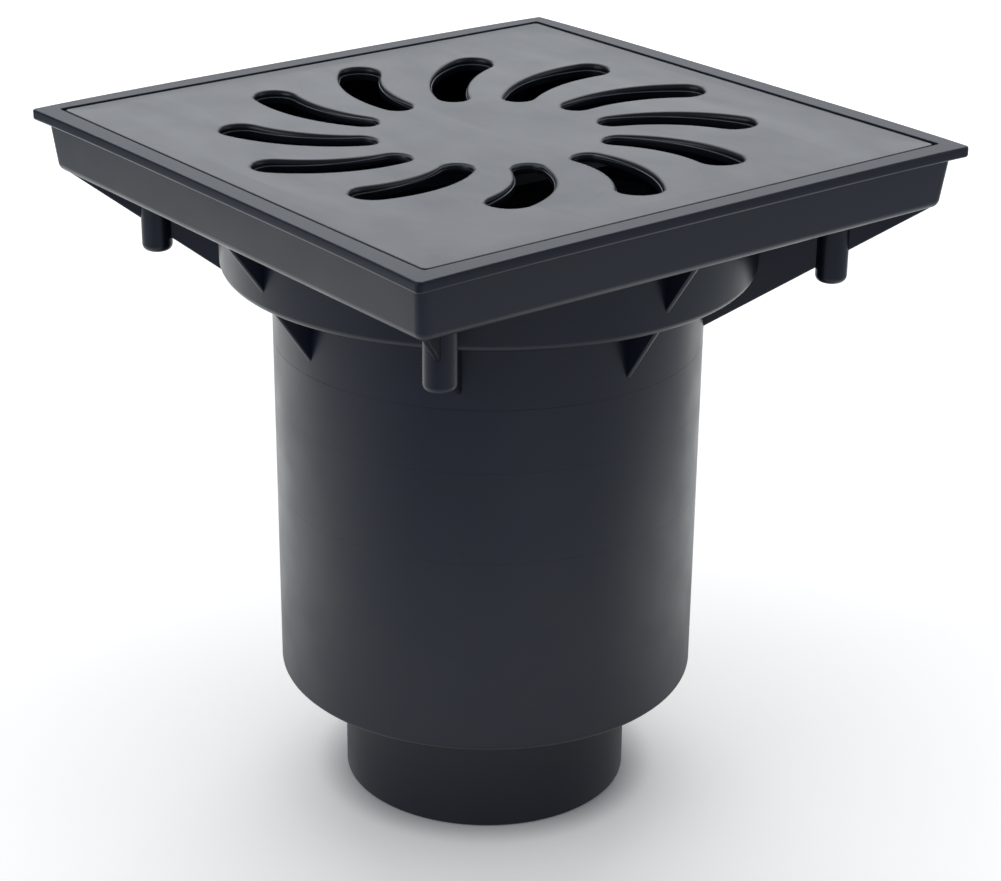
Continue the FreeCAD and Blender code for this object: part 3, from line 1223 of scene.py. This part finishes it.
    def dress(self, grate: Piece) -> None:
        """Puts the fine grate in place of its plain solid.

        Args:
            grate: The grate's mesh.
        """
        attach(grate, Body.DRAIN.value)
        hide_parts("grate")


@dataclass
class Insides:
    """The pieces inside the drain that keep their solids and get a finish."""

    finishes: Finishes

    def dress(self) -> None:
        """Gives each inner piece its material."""
        for node, body, finish in (
            ("leaf_basket", Body.DRAIN, self.finishes.basket),
            ("trap_deck", Body.DRAIN, self.finishes.trap),
            ("trap_flap", Body.FLAP, self.finishes.trap),
            ("flap_gasket", Body.FLAP, self.finishes.rubber),
            ("counterweight", Body.FLAP, self.finishes.steel),
            ("hinge_pin", Body.DRAIN, self.finishes.steel),
        ):
            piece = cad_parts[node]
            piece.data.materials.clear()
            piece.data.materials.append(finish)
            LOG.info("finished %s of the %s", node, body.value)


@dataclass(frozen=True)
class SoftBox:
    """A large soft lamp: where it stands, where it points, its size in metres and its radiance."""

    name: str
    place: Triple
    target: Triple
    size: tuple[float, float]
    radiance: float
    colour: Triple = (0.97, 1.0, 1.04)

    def make(self) -> None:
        """Adds the lamp to the scene."""
        data = bpy.data.lights.new(self.name, "AREA")
        data.shape = "RECTANGLE"
        data.color = self.colour
        data.size, data.size_y = self.size
        data.energy = self.radiance * math.pi * self.size[0] * self.size[1]
        aim(put(data), self.place, Vector(self.target) - Vector(self.place))


# Painted reflection: a pool is a patch of glow painted on the floor, which no lamp casts.
@dataclass(frozen=True)
class LightPool:
    """A round pool of light that glossy surfaces see on the floor, in metres about its centre."""

    centre: Triple
    start: float
    end: float
    colour: Triple


@dataclass
class Studio:
    """The pale floor, the soft lamps, the even surrounding light and the camera."""

    floor_size: float = 12.0
    floor_drop: float = 0.0002
    floor_colour: Triple = (0.93, 0.91, 0.88)
    floor_roughness: float = 0.85
    glow_colour: Triple = (1.0, 0.98, 0.955)
    floor_glow: float = 0.58
    shade_reach: float = 0.25
    contact_reach: float = 0.014
    mirrored_dim: Triple = (0.21, 0.24, 0.29)
    # Painted shade: the mirrored floor is dimmed about the drain's foot, standing in for the
    # contact shadow there.
    foot_shade_level: float = 0.2
    foot_shade_centre: Triple = (0.035, 0.02, 0.0)
    foot_shade_start: float = 0.05
    foot_shade_end: float = 0.29
    sky: Triple = (0.85, 0.95, 1.1)
    sky_strength: float = 0.22
    image_width: float = 1001.0
    image_height: float = 881.0
    focal_pixels: float = 2515.7
    centre_pixel: tuple[float, float] = (437.9, 417.5)
    sensor: float = 36.0
    camera_place: Triple = (-0.54404, -0.69658, 0.51336)
    camera_heading: Triple = (0.5529, 0.7396, -0.3837)
    # Painted reflections: pools of glow that only glossy rays see on the floor; they are no lamps.
    pools: tuple[LightPool, ...] = (
        LightPool((0.08, 0.38, 0.0), 0.26, 0.8, (1.07, 1.07, 1.02)),
        LightPool((0.3, -0.5, 0.0), 0.26, 0.75, (0.29, 0.3, 0.3)),
        LightPool((0.21, -0.15, 0.0), 0.05, 0.17, (0.25, 0.25, 0.25)),
        LightPool((0.62, 0.12, 0.0), 0.08, 0.32, (0.55, 0.54, 0.5)),
        LightPool((-0.27, -0.33, 0.0), 0.12, 0.42, (0.26, 0.27, 0.29)),
        LightPool((-0.65, 0.08, 0.0), 0.12, 0.36, (0.28, 0.29, 0.3)),
    )
    lamps: tuple[SoftBox, ...] = (
        SoftBox("BackLamp", (1.15, 1.55, 1.68), (0.0, 0.0, 0.2), (2.6, 2.3), 1.82),
        SoftBox("LeftLamp", (-1.7, 0.3, 0.9), (0.0, 0.0, 0.15), (1.4, 1.4), 1.2),
        SoftBox("RightLamp", (1.3, -1.1, 0.9), (0.0, 0.0, 0.15), (1.0, 1.4), 0.6),
    )

    def build(self) -> None:
        """Makes the stage, the light and the camera."""
        self.make_floor()
        self.make_sky()
        for lamp in self.lamps:
            lamp.make()
        self.make_camera()
        bpy.context.scene.view_settings.view_transform = "Standard"

    def make_floor(self) -> None:
        """Lays the floor just under the drain's foot."""
        half = self.floor_size / 2
        corners = [(-half, -half, 0), (half, -half, 0), (half, half, 0), (-half, half, 0)]
        mesh = bpy.data.meshes.new("studio_floor")
        mesh.from_pydata(corners, [], [(0, 1, 2, 3)])
        mesh.materials.append(self.floor_material())
        floor = put(mesh)
        floor.location.z = -self.floor_drop

    def floor_material(self) -> Material:
        """Makes the floor's finish.

        Light falls on it as on plain pale paper. Where it is seen it is lifted to white and keeps
        the shadow, with painted contact shade from ambient occlusion in the white. Where it is
        mirrored it shows painted pools of light, a painted reflection, and is dimmed by painted
        shade about the foot.

        Returns:
            The new material.
        """
        shop = MaterialShop("StudioFloor")
        # Painted reflection: glossy rays see the floor glow in a dim base colour with pools of
        # light added.
        shown = shop.made("ShaderNodeCombineXYZ", 0, dict(enumerate(self.mirrored_dim)))
        for pool in self.pools:
            share = self.falloff(shop, pool.centre, (pool.start, pool.end), (1.0, 0.0))
            shown = shop.added(shown, pool.colour, share)
        # Painted shade: the glow that glossy rays see is dimmed about the drain's foot.
        reach = (self.foot_shade_start, self.foot_shade_end)
        foot = self.falloff(shop, self.foot_shade_centre, reach, (self.foot_shade_level, 1.0))
        mirrored = shop.made("ShaderNodeEmission", 0, {"Color": shown, "Strength": foot})

        path = shop.tree.nodes.new("ShaderNodeLightPath").outputs
        lift = shop.sum(Sum.LARGER, path["Is Camera Ray"], path["Is Transmission Ray"])
        # Painted contact shade: ambient occlusion darkens the white glow near the drain, on top of
        # the real shadow in the lit floor.
        for distance in (self.shade_reach, self.contact_reach, self.contact_reach):
            shade = shop.made("ShaderNodeAmbientOcclusion", "AO", {"Distance": distance})
            lift = shop.sum(Sum.PRODUCT, lift, shade)
        strength = shop.sum(Sum.PRODUCT, lift, self.floor_glow)
        glow = shop.made(
            "ShaderNodeEmission", 0, {"Color": (*self.glow_colour, 1.0), "Strength": strength})
        seen = shop.made("ShaderNodeAddShader", 0, {0: shop.shader.outputs[0], 1: glow})
        both = shop.made("ShaderNodeMixShader", 0, {0: path["Is Glossy Ray"], 1: seen, 2: mirrored})
        shop.fill(shop.tree.nodes["Material Output"].inputs["Surface"], both)
        return shop.finished({
            "Base Color": (*self.floor_colour, 1.0), "Roughness": self.floor_roughness,
            "Specular IOR Level": 0.0})

    @staticmethod
    def falloff(shop: MaterialShop, centre: Triple, reach: tuple[float, float],
                levels: tuple[float, float]) -> Socket:
        """Runs a number smoothly between two levels with the distance from a centre.

        Args:
            shop: The material's shop.
            centre: Place that distances are taken from, in metres.
            reach: Distances at which the run starts and ends.
            levels: Numbers up to the start of the run and from its end.

        Returns:
            The number.
        """
        places = {0: shop.spot, 1: centre}
        distance = shop.made("ShaderNodeVectorMath", "Value", places, operation="DISTANCE")
        return shop.span(distance, reach, levels, Run.SMOOTH)

    def make_sky(self) -> None:
        """Sets the even surrounding light."""
        world = bpy.data.worlds.new("StudioSky")
        bpy.context.scene.world = world
        world.use_nodes = True
        plain = world.node_tree.nodes["Background"]
        plain.inputs["Color"].default_value = (*self.sky, 1.0)
        plain.inputs["Strength"].default_value = self.sky_strength

    def make_camera(self) -> None:
        """Sets the camera at the photograph's viewing angle."""
        data = bpy.data.cameras.new("Camera")
        data.sensor_width = self.sensor
        data.lens = self.focal_pixels * self.sensor / self.image_width
        data.shift_x = (self.image_width / 2 - self.centre_pixel[0]) / self.image_width
        data.shift_y = (self.centre_pixel[1] - self.image_height / 2) / self.image_width
        camera = put(data)
        aim(camera, self.camera_place, Vector(self.camera_heading))
        bpy.context.scene.camera = camera


def main() -> None:
    """Builds the drain's pieces in order, dresses them and sets the stage."""
    logging.basicConfig(level=logging.INFO, format="%(name)s: %(message)s")
    finishes = Finishes()
    pattern = RadialPattern()
    for maker in (DrainBody(finishes, pattern), SwirlGrate(finishes, pattern)):
        piece = maker.build()
        maker.dress(piece)
        LOG.info("built %s with %d faces", piece.name, len(piece.data.polygons))
    Insides(finishes).dress()
    Studio().build()


if __name__ == "__main__":
    main()
